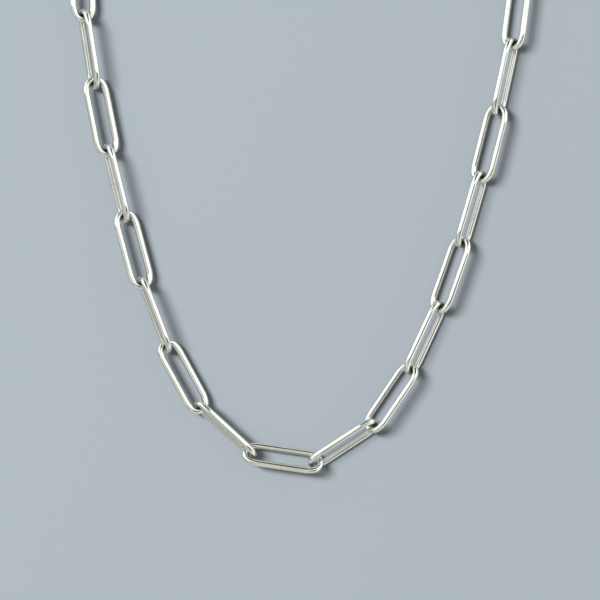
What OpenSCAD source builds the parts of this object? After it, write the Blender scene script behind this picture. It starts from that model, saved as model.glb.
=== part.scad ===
// Paperclip chain for the neck, closed by its clasp and laid out flat in a long loop.
// Millimetres. The surface under it is z = 0, and +Y points from the front link to the clasp.
// The origin is on the surface, under the middle of the box round the loop.

/* [Links] */
// Length of a link over its tips
link_length = 12.5; // [10:0.1:16]
// Width of a link over its two sides
link_width = 4; // [3.8:0.1:6]
// Thickness of the round wire of the links
link_wire = 1; // [0.6:0.05:1.05]
// Pairs of links on each side of the front link
side_pairs = 9; // [6:1:12]
// Air left where two pieces hook into each other
joint_gap = 0.12; // [0.06:0.01:0.16]

/* [Lie] */
// Lean of the links in the back half of the loop, in degrees
lean_back = 25; // [10:1:30]

/* [Jump rings] */
// Bore of a jump ring, which takes the last link and the clasp
ring_bore = 3.4; // [3.2:0.1:4.2]
// Thickness of the wire of a jump ring
ring_wire = 0.8; // [0.6:0.05:1]

/* [Clasp] */
// Length of the clasp over its eye and its hook
clasp_length = 12; // [11:0.1:16]
// Width of the clasp over its two sides
clasp_width = 5.6; // [5.2:0.1:7]
// Thickness of the round bar of the clasp
clasp_bar = 1.5; // [1.2:0.1:1.7]
// Bore of the eye at the clasp's end
eye_bore = 1.9; // [1.7:0.1:2.6]
// Thickness of the eye's wire
eye_wire = 0.9; // [0.7:0.05:1.1]
// Thickness of the thumb stud on the clasp's side
stud_diameter = 1.2; // [0.8:0.1:1.4]
// Length that the thumb stud stands out from the bar
stud_length = 1; // [0.6:0.1:1.6]

/* [Hidden] */
// Loop that the pieces follow, clockwise from the right end of the front link. Its size follows
// from the pieces, which close it.
ROUTE = [
    [4.8, -0.7], [-4.7, 0.7], [-13.1, 8.4], [-17.4, 16.2], [-21.7, 27.4], [-24.1, 36.2],
    [-27, 47.8], [-28.8, 56.7], [-30.7, 68.8], [-31.8, 87], [-32, 105], [-31.6, 123],
    [-30, 139.5], [-24, 155.3], [-12.5, 166.9], [3, 171.4], [18.5, 166.9], [30.5, 155.3],
    [36.8, 139.5], [38.6, 123], [38.9, 105], [38, 87], [35.5, 65], [33, 53.2],
    [30.7, 44.1], [27.4, 32.8], [24.3, 23.9], [19.4, 13.3], [14.3, 5.6]
];
// Leans in degrees of the front link, of the clasp, and of the next links up each side from the
// front. A flatter piece has its outer side up by its lean, and a standing one leans into the loop.
FRONT_LEAN = 33;
CLASP_LEAN = 12;
LEFT_LEANS = [16, 21, 14, 18, 21, 14, 24, 14];
RIGHT_LEANS = [33, 37, 33, 35, 31, 27, 28, 28];
// Room for turning between a link's round tip and the wire in it, besides the joint's air
TIP_ROOM = 0.22;
// Radius of a link's shoulders, from its tips to its straight sides, as a share of its half width
SHOULDER_SHARE = 2.6;
// Wear of the wire of a link's tips, on its radius, and the turn in degrees by which a tip goes on
// inside the shoulders
TIP_WEAR = 0.01;
TIP_SINK = 5;
// Share of the room in its neighbour's end by which a flatter piece hangs below that neighbour
HANG_SHARE = 0.6;
// Bend of a joint at which the flatter piece lies level with its neighbour. A sharper one lifts it.
LEVEL_BEND = 24;
// Reach that a bent joint loses when its pieces lean, and when the flatter piece hangs
LEAN_LOSS = 0.5;
HANG_LOSS = 1.4;
// Rounds that settle the bends, that close the loop, and that place each piece on it
SETTLING_ROUNDS = 2;
CLOSING_ROUNDS = 8;
PLACING_ROUNDS = 5;
// Power of the miss by which a closing round scales the route. Less than 1 keeps it steady.
CLOSING_POWER = 0.7;
// First guess of a piece's step along the route, and the step that measures the route's speed
GUESSED_STEP = 0.7;
SPEED_STEP = 0.01;
$fn = 48;

side_links = 2 * side_pairs;
left_ring = side_links + 1;
clasp_at = side_links + 2;
right_ring = side_links + 3;
pieces = 2 * side_links + 4;

// Middle line of a link's wire: a round tip at each end, straight sides at side_at, and between them
// shoulders whose centres lie at shoulder_at along the link. A tip turns by tip_turn to each side.
tip_half = link_wire / 2 - TIP_WEAR;
tip_r = link_wire + joint_gap + TIP_ROOM;
tip_at = link_length / 2 - tip_half - tip_r;
side_at = (link_width - link_wire) / 2;
shoulder_r = SHOULDER_SHARE * side_at;
shoulder_back = sqrt(pow(shoulder_r - tip_r, 2) - pow(shoulder_r - side_at, 2));
shoulder_at = tip_at - shoulder_back;
tip_turn = atan2(shoulder_r - side_at, shoulder_back);

ring_r = (ring_bore + ring_wire) / 2;
hook_r = (clasp_width - clasp_bar) / 2;
eye_r = (eye_bore + eye_wire) / 2;

// A number in two digits
function two_digits(n) = n < 10 ? str("0", n) : str(n);

// Name of a piece, counted clockwise from the front link
function piece_name(i) =
    i == 0 ? "link_front" :
    i <= side_links ? str("link_left_", two_digits(i)) :
    i == left_ring ? "ring_left" :
    i == clasp_at ? "clasp" :
    i == right_ring ? "ring_right" :
    str("link_right_", two_digits(pieces - i));

function is_ring(i) = i == left_ring || i == right_ring;
function is_link(i) = i != clasp_at && !is_ring(i);

// Distance between the centres of a piece's two round ends
function span(i) =
    i == clasp_at ? clasp_length - clasp_width / 2 - eye_r - eye_wire / 2 :
    is_ring(i) ? 0 : 2 * tip_at;

// Place of the back of the clasp's long body along the clasp: the body and the eye meet on their
// common middle line
body_back = eye_r + hook_r - span(clasp_at) / 2;

// Radius of the middle of the wire round the end that comes first, and last, clockwise
function first_r(i) = i == clasp_at ? eye_r : last_r(i);
function last_r(i) =
    i == clasp_at ? hook_r :
    is_ring(i) ? ring_r : tip_r;

// Half of the thickness of the wire at the first end and at the last
function first_half(i) = i == clasp_at ? eye_wire / 2 : last_half(i);
function last_half(i) =
    i == clasp_at ? clasp_bar / 2 :
    is_ring(i) ? ring_wire / 2 : tip_half;

// Lean of a side's links, counted from the front link
function side_lean(count, leans) = count <= len(leans) ? leans[count - 1] : lean_back;

// Lean of any piece. The rings lean as the links beside them.
function lean(i) =
    i == 0 ? FRONT_LEAN :
    i == clasp_at ? CLASP_LEAN :
    i < clasp_at ? side_lean(i, LEFT_LEANS) : side_lean(pieces - i, RIGHT_LEANS);

// Turn of a piece about its own length: every second piece stands on its side
function stands(i) = i % 2 == 1;
function roll(i) = lean(i) + (stands(i) ? 90 : 0);

// Height of a piece's axis when its lower side rests on the surface
function resting(i) =
    is_link(i) ? side_at * abs(sin(roll(i))) + link_wire / 2 :
    last_r(i) * abs(sin(roll(i))) + last_half(i);

// Joint i is the one between piece i and the piece after it, where one stands and one is flatter
function before(i) = (i + pieces - 1) % pieces;
function after(i) = (i + 1) % pieces;
function stood(i) = stands(i) ? i : after(i);
function flat(i) = stands(i) ? after(i) : i;
function stood_r(i) = stands(i) ? last_r(i) : first_r(after(i));
function flat_r(i) = stands(i) ? first_r(after(i)) : last_r(i);
function stood_roll(i) = roll(stood(i));
function flat_roll(i) = roll(flat(i));
function wires(i) = last_half(i) + first_half(after(i)) + joint_gap;

// How far the flatter piece of a joint may hang below the other one
function hang(i, bend) = HANG_SHARE * (stood_r(i) - wires(i)) * (1 - bend / LEVEL_BEND);

// Heights of the pieces' axes, for given bends of the joints
function heights(bends) = [
    for (i = [0 : pieces - 1])
        stands(i) ? resting(i) :
        max(
            resting(i),
            resting(before(i)) - hang(before(i), bends[before(i)]),
            resting(after(i)) - hang(i, bends[i])
        )
];

// How far past the centre of a round end another wire can lie when their middles have to keep a
// distance and it slides aside. A wire that slides past a link's tip meets the shoulder there.
function hold(piece, r, distance, slide) =
    is_link(piece) && slide > (r - distance) * sin(tip_turn) ?
        sqrt(pow(shoulder_r - distance, 2) - pow(shoulder_r - side_at + slide, 2)) - shoulder_back :
        sqrt(pow(r - distance, 2) - pow(slide, 2));

// Distance between the two end centres of a straight joint, where the wires just clear each other.
// The flatter piece lies lower by the rise, which takes the wires off the tops of both ends.
function straight_reach(i, rise) =
    let (slide = abs(rise / sin(stood_roll(i) - flat_roll(i))))
    hold(stood(i), stood_r(i), wires(i), slide * abs(cos(flat_roll(i)))) +
    hold(flat(i), flat_r(i), wires(i), slide * abs(cos(stood_roll(i)))) +
    wires(i);

// The same for a bent joint
function bent_reach(i, rise, bend) =
    straight_reach(i, rise) * (1 - LEAN_LOSS * pow(sin(2 * flat_roll(i)) * tan(bend), 2)) -
    HANG_LOSS * rise * tan(bend);

function reaches(bends) =
    let (z = heights(bends))
    [
        for (i = [0 : pieces - 1])
            bent_reach(i, (stands(i) ? 1 : -1) * (z[i] - z[after(i)]), bends[i])
    ];

// Share of the reach between the end centre of piece i and the point about which the joint turns
function share(i) =
    pow(sin(roll(i)), 2) / (pow(sin(roll(i)), 2) + pow(sin(roll(after(i))), 2));

function first_arm(i, reach) = reach[before(i)] * (1 - share(before(i)));
function last_arm(i, reach) = reach[i] * share(i);

// Distances between the points about which each piece turns against its two neighbours
function strides(reach) = [
    for (i = [0 : pieces - 1]) first_arm(i, reach) + span(i) + last_arm(i, reach)
];

// Smooth closed curve through the points of the route, one unit of u from point to point
function along(u) =
    let (
        n = len(ROUTE),
        k = floor(u),
        f = u - k,
        a = ROUTE[(k + n - 1) % n],
        b = ROUTE[k % n],
        c = ROUTE[(k + 1) % n],
        d = ROUTE[(k + 2) % n]
    )
    b + f / 2 * (c - a) + f * f / 2 * (2 * a - 5 * b + 4 * c - d) +
    f * f * f / 2 * (3 * b - a - 3 * c + d);

// Place on the route at a straight distance from the place u
function placed(u, distance, guess, rounds) =
    rounds == 0 ? guess :
    let (
        here = along(guess),
        speed = norm(along(guess + SPEED_STEP) - here) / SPEED_STEP
    )
    placed(u, distance, guess + (distance - norm(here - along(u))) / speed, rounds - 1);

// Places of the turning points on a route of a given scale
function turning_places(steps, scale) = [
    for (
        i = 0, u = 0;
        i <= pieces;
        u = placed(u, steps[i % pieces] / scale, u + GUESSED_STEP, PLACING_ROUNDS), i = i + 1
    ) u
];

// Scale of the route at which the last piece ends where the first begins
function closing_scale(steps, scale, rounds) =
    rounds == 0 ? scale :
    let (turned = turning_places(steps, scale)[pieces] / len(ROUTE))
    closing_scale(steps, scale * pow(turned, CLOSING_POWER), rounds - 1);

function turning_points(bends) =
    let (
        steps = strides(reaches(bends)),
        scale = closing_scale(steps, 1, CLOSING_ROUNDS)
    )
    [for (u = turning_places(steps, scale)) scale * along(u)];

function directions(points) = [
    for (i = [0 : pieces - 1]) (points[i + 1] - points[i]) / norm(points[i + 1] - points[i])
];

// Bends of the joints, found by laying the chain again with the bends that it had before
function settled(bends, rounds) =
    rounds == 0 ? bends :
    let (heading = directions(turning_points(bends)))
    settled([for (i = [0 : pieces - 1]) acos(min(1, heading[i] * heading[after(i)]))], rounds - 1);

bends = settled([for (i = [0 : pieces - 1]) 0], SETTLING_ROUNDS);
reach = reaches(bends);
height = heights(bends);
turns = turning_points(bends);
headings = directions(turns);
middles = [
    for (i = [0 : pieces - 1]) turns[i] + (first_arm(i, reach) + span(i) / 2) * headings[i]
];

// How far a piece with semicircular ends reaches in one direction from its middle. The direction is
// given by its shares along the piece and across it, and an end by its place along the piece, its
// radius and half of its wire.
function rounded_reach(ends, lengthwise, sideways) =
    max([for (end = ends) end[0] * lengthwise + end[1] * norm([lengthwise, sideways]) + end[2]]);

// The same for a link, which is alike on all its sides
function link_reach(lengthwise, sideways) =
    atan2(sideways, lengthwise) < tip_turn ?
        tip_at * lengthwise + tip_r * norm([lengthwise, sideways]) + tip_half :
        shoulder_at * lengthwise - (shoulder_r - side_at) * sideways +
            shoulder_r * norm([lengthwise, sideways]) + link_wire / 2;

CLASP_ENDS = [
    [-span(clasp_at) / 2, eye_r, eye_wire / 2],
    [body_back, hook_r, clasp_bar / 2],
    [span(clasp_at) / 2, hook_r, clasp_bar / 2]
];
RING_ENDS = [[0, ring_r, ring_wire / 2]];

// Furthest place that a piece reaches along one axis of the page, towards the side of -1 or 1
function furthest(i, axis, side) =
    let (
        lengthwise = side * headings[i][axis],
        sideways = headings[i][1 - axis] * cos(roll(i))
    )
    middles[i][axis] + side * (
        is_link(i) ? link_reach(abs(lengthwise), abs(sideways)) :
        rounded_reach(i == clasp_at ? CLASP_ENDS : RING_ENDS, lengthwise, sideways)
    );

box_low = [for (axis = [0, 1]) min([for (i = [0 : pieces - 1]) furthest(i, axis, -1)])];
box_high = [for (axis = [0, 1]) max([for (i = [0 : pieces - 1]) furthest(i, axis, 1)])];
box_middle = (box_low + box_high) / 2;

// Puts a piece that is drawn along X, with its first end at -X, in its place in the loop
module in_place(i) {
    translate([middles[i][0] - box_middle[0], middles[i][1] - box_middle[1], height[i]])
        rotate([0, 0, atan2(headings[i][1], headings[i][0])])
            rotate([roll(i), 0, 0])
                children();
}

// Straight stretch of wire along X at a distance to the side
module side_wire(from, to, side, half) {
    translate([from, side, 0])
        rotate([0, 90, 0])
            cylinder(h = to - from, r = half);
}

// Arc of wire round a centre, from one angle on by the given turn
module arc_wire(centre, r, half, from, turn) {
    translate([centre[0], centre[1], 0])
        rotate([0, 0, from])
            rotate_extrude(angle = turn)
                translate([r, 0])
                    circle(r = half);
}

// Long closed ring with semicircular ends
module long_ring(from, to, r, half) {
    side_wire(from, to, r, half);
    side_wire(from, to, -r, half);
    arc_wire([from, 0], r, half, 90, 180);
    arc_wire([to, 0], r, half, -90, 180);
}

// Closed ring of a link, whose sides go over into each round tip through a shoulder
module link_ring() {
    half = link_wire / 2;
    tip_end = tip_turn + TIP_SINK;
    shoulder_centre = [shoulder_at, shoulder_r - side_at];
    for (end = [0, 180])
        rotate([0, 0, end]) {
            arc_wire([tip_at, 0], tip_r, tip_half, -tip_end, 2 * tip_end);
            for (side = [0, 1])
                mirror([0, side, 0]) {
                    side_wire(0, shoulder_at, -side_at, half);
                    arc_wire(shoulder_centre, shoulder_r, half, -90, 90 - tip_turn);
                }
        }
}

module ring(r, half) {
    rotate_extrude()
        translate([r, 0])
            circle(r = half);
}

module link(i) {
    color([0.84, 0.85, 0.83])
        in_place(i)
            link_ring();
}

module jump_ring(i) {
    color([0.8, 0.81, 0.79])
        in_place(i)
            ring(ring_r, ring_wire / 2);
}

// The thumb stud stands on the side that faces into the loop
module clasp() {
    half_span = span(clasp_at) / 2;
    color([0.78, 0.79, 0.77])
        in_place(clasp_at) {
            long_ring(body_back, half_span, hook_r, clasp_bar / 2);
            translate([-half_span, 0, 0])
                ring(eye_r, eye_wire / 2);
            translate([body_back, -hook_r, 0])
                rotate([90, 0, 0])
                    cylinder(h = clasp_bar / 2 + stud_length, r = stud_diameter / 2);
        }
}

for (i = [0 : pieces - 1])
    union() {
        if (i == clasp_at) clasp();
        else if (is_ring(i)) jump_ring(i);
        else link(i);
    }
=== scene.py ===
"""Looks of a paperclip chain for the neck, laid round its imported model. Lengths are in millimetres
until they reach Blender, which takes metres."""

import math

import bpy
import numpy as np
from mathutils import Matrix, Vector


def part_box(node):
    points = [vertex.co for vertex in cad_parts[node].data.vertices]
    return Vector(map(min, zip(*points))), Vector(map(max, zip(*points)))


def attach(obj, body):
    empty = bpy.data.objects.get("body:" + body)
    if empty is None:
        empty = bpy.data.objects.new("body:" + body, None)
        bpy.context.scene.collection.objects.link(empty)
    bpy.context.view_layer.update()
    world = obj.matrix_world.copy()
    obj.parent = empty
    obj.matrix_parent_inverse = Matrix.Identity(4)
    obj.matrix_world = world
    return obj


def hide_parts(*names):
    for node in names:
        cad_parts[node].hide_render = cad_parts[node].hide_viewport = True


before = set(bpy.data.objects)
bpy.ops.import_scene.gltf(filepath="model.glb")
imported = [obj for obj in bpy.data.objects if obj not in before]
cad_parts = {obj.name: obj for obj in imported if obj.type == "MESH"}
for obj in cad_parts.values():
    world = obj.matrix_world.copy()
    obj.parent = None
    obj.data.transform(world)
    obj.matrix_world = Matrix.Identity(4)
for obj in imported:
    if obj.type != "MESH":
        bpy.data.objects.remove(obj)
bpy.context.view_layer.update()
MM = 0.001

# Sizes of the pieces. A link's tips are a little worn, and a shoulder on each side of a tip leads
# over into the link's straight side.
LINK_LENGTH = 12.5
LINK_WIDTH = 4.0
LINK_WIRE = 1.0
TIP_HALF = 0.49
TIP_RADIUS = 1.34
SHOULDER_RADIUS = 3.9
RING_BORE = 3.4
RING_WIRE = 0.8

# Steps of the meshes: round the wire, along the stretches of half a link, and along half a ring
WIRE_SIDES = 32
STRAIGHT_STEPS = 48
SHOULDER_STEPS = 12
TIP_STEPS = 36
RING_STEPS = 48

# Half the length of the soldered seam across one long side of each link
SEAM_HALF = 0.16

# Tarnish, with painted shade, where a wire comes close to the next piece: it darkens the pockets
# between pieces, full up to the first gap, none from the second.
# Along the inside of a piece, the side that faces its hole, painted shade has a share of its own. There
# it depends on the cosine of the angle from straight inwards: none up to the first, whole at the
# second.
TARNISH_AND_SHADE_GAPS = (0.16, 0.62)
INSIDE_PAINTED_SHADE = 0.45
INSIDE_COSINES = (0.8, 0.97)

# The drawn grain is stretched along the wire, and starts elsewhere for each piece's name
GRAIN_STRETCH = 0.03
GRAIN_SHIFT = 17.3
GRAIN_SHIFTS = 97

# Camera over the front of the loop, straight above the point that it looks at. The width of the
# view is measured at the height of the links' middles.
VIEW_CENTRE = (-0.8, -60.54)
VIEW_WIDTH = 91.1
VIEW_LEVEL = 1.6
CAMERA_HEIGHT = 451.6

# Sockets of a Mix node for colours
MIX_SHARE, MIX_UNDER, MIX_OVER, MIXED = 0, 6, 7, 2


def surface_axes(node):
    """Middle of a CAD node and its long, wide and flat axes, from the spread of its surface."""
    low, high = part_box(node)
    middle = np.array((low + high) / 2)
    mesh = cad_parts[node].data
    centres = np.array([face.center for face in mesh.polygons]) - middle
    areas = np.array([face.area for face in mesh.polygons])
    spread = (centres * areas[:, None]).T @ centres
    _, axes = np.linalg.eigh(spread)
    flat, wide, long = axes.T
    return middle / MM, long, wide, flat


def arc(centre, radius, start, end, steps):
    """Points of an arc without its last one, each with its way out."""
    for step in range(steps):
        angle = start + (end - start) * step / steps
        way = (math.cos(angle), math.sin(angle))
        yield (centre[0] + radius * way[0], centre[1] + radius * way[1]), way


def closed_path(half):
    """Points and ways out of a path that is alike after half a turn, from one half of it."""
    points = np.array([point for point, _ in half])
    outward = np.array([way for _, way in half])
    return np.concatenate([points, -points]), np.concatenate([outward, -outward])


def smooth(share):
    """Soft step from 0 to 1 as the share goes from 0 to 1."""
    share = np.clip(share, 0, 1)
    return share * share * (3 - 2 * share)


def link_path():
    """Middle line of a link's wire in the link's own plane, its ways out, and half of its wire."""
    side = (LINK_WIDTH - LINK_WIRE) / 2
    tip = LINK_LENGTH / 2 - TIP_HALF - TIP_RADIUS
    inwards = SHOULDER_RADIUS - side
    back = math.sqrt((SHOULDER_RADIUS - TIP_RADIUS) ** 2 - inwards**2)
    shoulder = tip - back
    turn = math.atan2(inwards, back)
    half = []
    for step in range(STRAIGHT_STEPS):
        half.append(((-shoulder + 2 * shoulder * step / STRAIGHT_STEPS, -side), (0, -1)))
    half += arc((shoulder, inwards), SHOULDER_RADIUS, -math.pi / 2, -turn, SHOULDER_STEPS)
    half += arc((tip, 0), TIP_RADIUS, -turn, turn, TIP_STEPS)
    half += arc((shoulder, -inwards), SHOULDER_RADIUS, turn, math.pi / 2, SHOULDER_STEPS)
    points, outward = closed_path(half)
    worn = smooth((np.abs(points[:, 0]) - shoulder) / back)
    radii = LINK_WIRE / 2 + (TIP_HALF - LINK_WIRE / 2) * worn
    return points, outward, radii


def ring_path():
    """Middle line of a jump ring's wire, as for a link."""
    radius = (RING_BORE + RING_WIRE) / 2
    points, outward = closed_path(list(arc((0, 0), radius, 0, math.pi, RING_STEPS)))
    return points, outward, np.full(len(points), RING_WIRE / 2)


class Wire:
    """Wire of one closed piece: its middle line, laid where the CAD node has it, and its finish."""

    def __init__(self, node, path, material, slot):
        self.node = node
        self.material = material
        self.slot = slot
        self.middle, long, wide, self.flat = surface_axes(node)
        self.local, outward, self.radii = path
        plane = np.array([long, wide])
        self.line = self.middle + self.local @ plane
        self.outward = outward @ plane
        angles = np.arange(WIRE_SIDES) * 2 * math.pi / WIRE_SIDES
        self.turn = np.stack([np.cos(angles), np.sin(angles)], axis=1)

    def points(self):
        """Points of the wire's surface, one circle after another along the middle line."""
        circle = (
            self.turn[None, :, :1] * self.outward[:, None, :]
            + self.turn[None, :, 1:] * self.flat[None, None, :]
        )
        return (self.line[:, None, :] + self.radii[:, None, None] * circle).reshape(-1, 3)

    def faces(self):
        """Corners of each face between one circle and the next, all round the closed line."""
        count = len(self.line)
        for i in range(count):
            here, there = i * WIRE_SIDES, (i + 1) % count * WIRE_SIDES
            for j in range(WIRE_SIDES):
                k = (j + 1) % WIRE_SIDES
                yield here + j, here + k, there + k, there + j

    def seam(self):
        """How far each point belongs to the soldered seam."""
        away = np.abs(self.local[:, 0]) / SEAM_HALF
        share = smooth(1 - away) * (self.local[:, 1] < 0)
        return np.repeat(share, WIRE_SIDES)

    def painted_inside_shade(self):
        """Painted shade along the inside of the wire, on the side that faces the hole."""
        none, whole = INSIDE_COSINES
        # Painted shade on the side of the wire that faces the hole
        share = INSIDE_PAINTED_SHADE * smooth((-self.turn[:, 0] - none) / (whole - none))
        return np.tile(share, len(self.local))

    def grain(self):
        """Where each point lies in the drawn grain, which runs along the wire."""
        shift = GRAIN_SHIFT * (sum(self.node.encode()) % GRAIN_SHIFTS)
        along = np.repeat(GRAIN_STRETCH * self.local[:, 0] + shift, WIRE_SIDES)
        around = np.tile(self.turn * self.radii[0], (len(self.local), 1))
        return np.column_stack([along, around])

    def mesh(self, near):
        """Mesh of the wire. It carries what the material reads: the grain, the seam, and the tarnish
        with painted shade.
        """
        mesh = bpy.data.meshes.new(self.node + "_wire")
        points = self.points()
        faces = list(self.faces())
        mesh.from_pydata((points * MM).tolist(), [], faces)
        mesh.polygons.foreach_set("use_smooth", [True] * len(faces))
        grain = mesh.attributes.new("grain", "FLOAT_VECTOR", "POINT")
        grain.data.foreach_set("vector", self.grain().ravel())
        seam = mesh.attributes.new("seam", "FLOAT", "POINT")
        seam.data.foreach_set("value", self.seam())
        tarnish_and_shade = mesh.attributes.new("tarnish_and_shade", "FLOAT", "POINT")
        # Tarnish with painted shade near other pieces, and painted shade along the inside of the wire
        tarnish_and_shade.data.foreach_set("value", np.maximum(tarnish_and_shade_at(points, near), self.painted_inside_shade()))
        mesh.update()
        return mesh


def tarnish_and_shade_at(points, near):
    """Share of tarnish and painted shade at each point, which grows as its gap to the surfaces near it
    closes. Each of those is given as points and how far its surface lies from them."""
    gap = np.full(len(points), np.inf)
    for line, radii in near:
        away = np.linalg.norm(points[:, None, :] - line[None, :, :], axis=2) - radii
        gap = np.minimum(gap, away.min(axis=1))
    full, none = TARNISH_AND_SHADE_GAPS
    return smooth((none - gap) / (none - full))


class Nodes:
    """Short ways to add nodes to a tree and to link them up."""

    def __init__(self, tree):
        self.tree = tree

    def add(self, kind, settings=None, **values):
        """New node. An underscore in the name of a value stands for a space in its socket's name."""
        made = self.tree.nodes.new(kind)
        for name, value in (settings or {}).items():
            setattr(made, name, value)
        for name, value in values.items():
            self.feed(made.inputs[name.replace("_", " ")], value)
        return made

    def feed(self, socket, value):
        """Links a socket to another one, or sets it to a plain value."""
        if isinstance(value, bpy.types.NodeSocket):
            self.tree.links.new(value, socket)
        else:
            socket.default_value = value

    def pair(self, kind, operation, a, b):
        made = self.add(kind, {"operation": operation})
        self.feed(made.inputs[0], a)
        self.feed(made.inputs[1], b)
        return made

    def math(self, operation, a, b):
        return self.pair("ShaderNodeMath", operation, a, b).outputs["Value"]

    def vector(self, operation, a, b=(0, 0, 0)):
        made = self.pair("ShaderNodeVectorMath", operation, a, b)
        return made.outputs["Value" if operation in ("DOT_PRODUCT", "LENGTH") else "Vector"]

    def step(self, value, low, high, to_low=0.0, to_high=1.0):
        """Soft step of a value from one number to another between two others."""
        made = self.add(
            "ShaderNodeMapRange",
            {"interpolation_type": "SMOOTHSTEP"},
            Value=value,
            From_Min=low,
            From_Max=high,
            To_Min=to_low,
            To_Max=to_high,
        )
        return made.outputs["Result"]

    def blend(self, share, under, over):
        """One colour over another, as far as the share says."""
        made = self.add("ShaderNodeMix", {"data_type": "RGBA"})
        self.feed(made.inputs[MIX_SHARE], share)
        for socket, color in ((MIX_UNDER, under), (MIX_OVER, over)):
            linked = isinstance(color, bpy.types.NodeSocket)
            self.feed(made.inputs[socket], color if linked else (*color, 1))
        return made.outputs[MIXED]

    def noise(self, place, scale, detail):
        made = self.add("ShaderNodeTexNoise", Vector=place, Scale=scale, Detail=detail)
        return made.outputs["Fac"]

    def attribute(self, name, output):
        return self.add("ShaderNodeAttribute", {"attribute_name": name}).outputs[output]

    def bump(self, height, strength, distance, normal=None):
        made = self.add("ShaderNodeBump", Height=height, Strength=strength, Distance=distance)
        if normal:
            self.feed(made.inputs["Normal"], normal)
        return made.outputs["Normal"]


def silver(name, tint, roughness, drawn):
    """Polished silver with soft dents, fine scratches and a film of tarnish. Drawn wire has its
    scratches along it, its own seam, and its own tarnish with painted shade in the pockets between
    pieces and along its inside."""
    # Near-black colour of the tarnish, the seam and the painted shade
    tarnish_and_shade_color = (0.06, 0.053, 0.042)
    dulled = tuple(0.97 * part for part in tint)
    material = bpy.data.materials.new(name)
    material.use_nodes = True
    nodes = Nodes(material.node_tree)
    shader = material.node_tree.nodes["Principled BSDF"]
    place = nodes.add("ShaderNodeTexCoord").outputs["Object"]
    cloud = nodes.noise(place, scale=260, detail=3)
    film_and_shade = nodes.step(cloud, low=0.45, high=0.8, to_high=0.1)
    if drawn:
        grain = nodes.attribute("grain", "Vector")
        dents = nodes.noise(grain, scale=2.5, detail=1)
        scratches = nodes.noise(grain, scale=16, detail=4)
        patches = nodes.noise(place, scale=1500, detail=3)
        patchy = nodes.step(patches, low=0.25, high=0.6, to_low=0.75)
        # Tarnish with painted shade in the pockets between pieces, and painted shade along the inside
        # of the wire
        tarnish_and_shade = nodes.math("MULTIPLY", nodes.attribute("tarnish_and_shade", "Fac"), patchy)
        seam_film = 0.16
        seam = nodes.math("MULTIPLY", nodes.attribute("seam", "Fac"), seam_film)
        film_and_shade = nodes.math("MAXIMUM", nodes.math("MAXIMUM", film_and_shade, tarnish_and_shade), seam)
    else:
        dents = nodes.noise(place, scale=400, detail=1)
        brushed = nodes.vector("MULTIPLY", place, (900, 9000, 9000))
        scratches = nodes.noise(brushed, scale=1, detail=4)
    worn = nodes.blend(nodes.step(cloud, low=0.3, high=0.7), tint, dulled)
    # The film mixes in tarnish, the seam and the painted shade
    nodes.feed(shader.inputs["Base Color"], nodes.blend(film_and_shade, worn, tarnish_and_shade_color))
    smoothest, roughest = roughness - 0.02, roughness + 0.04
    polish = nodes.step(scratches, low=0.3, high=0.7, to_low=smoothest, to_high=roughest)
    film_roughness = 0.3
    rougher = nodes.math("MULTIPLY", film_and_shade, film_roughness)
    nodes.feed(shader.inputs["Roughness"], nodes.math("ADD", polish, rougher))
    dented = nodes.bump(dents, strength=0.5, distance=0.00005)
    scratched = nodes.bump(scratches, strength=0.1, distance=0.00001, normal=dented)
    nodes.feed(shader.inputs["Normal"], scratched)
    shader.inputs["Metallic"].default_value = 1
    return material


link_silver = silver("link_silver", tint=(0.925, 0.94, 0.885), roughness=0.08, drawn=True)
ring_silver = silver("ring_silver", tint=(0.92, 0.93, 0.89), roughness=0.1, drawn=True)
clasp_silver = silver("clasp_silver", tint=(0.92, 0.93, 0.89), roughness=0.11, drawn=False)


def add_wires():
    """A finely made wire in place of each link and ring."""
    wires = []
    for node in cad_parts:
        if node.startswith("link"):
            wires.append(Wire(node, link_path(), link_silver, "links"))
        elif node.startswith("ring"):
            wires.append(Wire(node, ring_path(), ring_silver, "findings"))
    clasp = np.array([vertex.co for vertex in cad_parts["clasp"].data.vertices]) / MM
    for wire in wires:
        near = [
            (other.line, other.radii)
            for other in wires
            if other is not wire and np.linalg.norm(other.middle - wire.middle) < LINK_LENGTH
        ]
        if wire.slot == "findings":
            near.append((clasp, 0.0))
        piece = bpy.data.objects.new(wire.node + "_wire", wire.mesh(near))
        bpy.context.scene.collection.objects.link(piece)
        piece.data.materials.append(wire.material)
        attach(piece, "root")
        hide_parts(wire.node)


def finish_clasp():
    """The clasp keeps its CAD solid and gets a finer material."""
    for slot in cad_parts["clasp"].material_slots:
        slot.material = clasp_silver


def add_floor():
    mesh = bpy.data.meshes.new("floor")
    half = 1.5
    corners = [(-half, -half, 0), (half, -half, 0), (half, half, 0), (-half, half, 0)]
    mesh.from_pydata(corners, [], [(0, 1, 2, 3)])
    floor = bpy.data.objects.new("floor", mesh)
    bpy.context.scene.collection.objects.link(floor)
    material = bpy.data.materials.new("pale_floor")
    material.use_nodes = True
    shader = material.node_tree.nodes["Principled BSDF"]
    shader.inputs["Base Color"].default_value = (0.15, 0.17, 0.185, 1)
    shader.inputs["Roughness"].default_value = 0.9
    shader.inputs["Specular IOR Level"].default_value = 0.1
    mesh.materials.append(material)


def direction(azimuth, elevation):
    """Unit vector towards an azimuth from +X and an elevation, both in degrees."""
    a, e = math.radians(azimuth), math.radians(elevation)
    return Vector((math.cos(e) * math.cos(a), math.cos(e) * math.sin(a), math.sin(e)))


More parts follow.
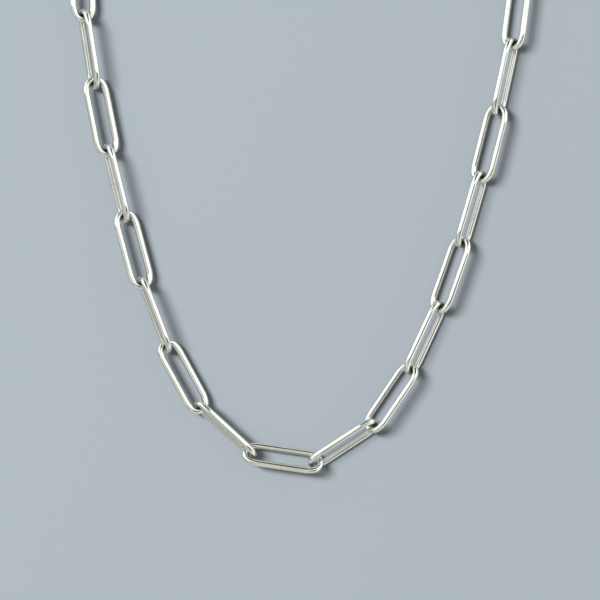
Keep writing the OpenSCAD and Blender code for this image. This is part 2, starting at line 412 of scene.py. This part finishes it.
class Sky:
    """Soft studio light all round, whose colour goes over into another one in some directions. All
    angles are in degrees. The other colour is whole up to the inner one and ends at the outer one."""

    STRIP_END = 8

    def __init__(self, color):
        world = bpy.data.worlds.new("studio")
        world.use_nodes = True
        bpy.context.scene.world = world
        self.nodes = Nodes(world.node_tree)
        self.background = world.node_tree.nodes["Background"]
        self.way = self.nodes.add("ShaderNodeTexCoord").outputs["Generated"]
        flat = self.nodes.vector("MULTIPLY", self.way, (1, 1, 0))
        self.side = self.nodes.vector("NORMALIZE", flat)
        height = self.nodes.add("ShaderNodeSeparateXYZ", Vector=self.way).outputs["Z"]
        across = self.nodes.vector("LENGTH", flat)
        self.rise = self.nodes.add("ShaderNodeCombineXYZ", X=across, Z=height).outputs["Vector"]
        self.color = color

    def within(self, way, target, inner, outer):
        """1 where the way is within the inner angle of the target, and 0 from the outer one on."""
        low, high = math.cos(math.radians(outer)), math.cos(math.radians(inner))
        return self.nodes.step(self.nodes.vector("DOT_PRODUCT", way, target), low, high)

    def show(self, share, color):
        self.color = self.nodes.blend(share, self.color, color)

    def spot(self, azimuth, elevation, inner, outer, color):
        """Round patch."""
        self.show(self.within(self.way, direction(azimuth, elevation), inner, outer), color)

    def wall(self, azimuth, inner, outer, color):
        """Panel that rises from the horizon to the zenith."""
        self.show(self.within(self.side, direction(azimuth, 0), inner, outer), color)

    def strip(self, azimuth, elevation, inner, outer, reach, color):
        """Level strip at an elevation, which reaches as far to each side of an azimuth."""
        level = self.within(self.rise, direction(0, elevation), inner, outer)
        ends = (reach - self.STRIP_END, reach + self.STRIP_END)
        side = self.within(self.side, direction(azimuth, 0), *ends)
        self.show(self.nodes.math("MULTIPLY", level, side), color)

    def finish(self):
        self.nodes.feed(self.background.inputs["Color"], self.color)


def add_sky():
    """Cream light with a pale strip and a dark horizon at the front left, two white walls, a white
    patch low at the front right, and two dark patches that draw the dark lines on the wires."""
    sky = Sky((0.6, 0.6, 0.535))
    sky.wall(208, inner=24, outer=40, color=(0.44, 0.44, 0.395))
    sky.strip(206, 44, inner=6, outer=14, reach=18, color=(0.95, 0.95, 0.9))
    sky.strip(206, 3, inner=8, outer=14, reach=24, color=(0.2, 0.2, 0.18))
    sky.wall(24, inner=22, outer=32, color=(1.3, 1.3, 1.29))
    sky.wall(150, inner=22, outer=32, color=(1.3, 1.3, 1.29))
    sky.spot(-28, 4, inner=18, outer=36, color=(1.05, 1.05, 1.02))
    sky.strip(-32, 60, inner=8, outer=16, reach=32, color=(0.03, 0.03, 0.03))
    sky.spot(82, 46, inner=18, outer=26, color=(0.06, 0.06, 0.05))
    sky.finish()


def add_key():
    """Panel that gives the shadows. It is left out of reflections, where the sky does its work.
    Its lengths are in metres."""
    way = direction(azimuth=154, elevation=56)
    aim, distance = Vector((0, -0.06, 0)), 2.0
    width, height = 0.42, 0.98
    brightness = 86
    light = bpy.data.lights.new("key", "AREA")
    light.shape = "RECTANGLE"
    light.size = width
    light.size_y = height
    light.energy = brightness * math.pi * width * height
    key = bpy.data.objects.new("key", light)
    key.location = aim + way * distance
    key.rotation_euler = way.to_track_quat("Z", "Y").to_euler()
    key.visible_camera = False
    key.visible_glossy = False
    bpy.context.scene.collection.objects.link(key)


def add_camera():
    camera_data = bpy.data.cameras.new("camera")
    camera = bpy.data.objects.new("camera", camera_data)
    camera.location = (VIEW_CENTRE[0] * MM, VIEW_CENTRE[1] * MM, CAMERA_HEIGHT * MM)
    camera_data.sensor_fit = "HORIZONTAL"
    camera_data.angle = 2 * math.atan(VIEW_WIDTH / 2 / (CAMERA_HEIGHT - VIEW_LEVEL))
    camera_data.clip_start = 0.01
    bpy.context.scene.collection.objects.link(camera)
    bpy.context.scene.camera = camera


add_wires()
finish_clasp()
add_floor()
add_sky()
add_key()
add_camera()
bpy.context.scene.view_settings.view_transform = "Standard"
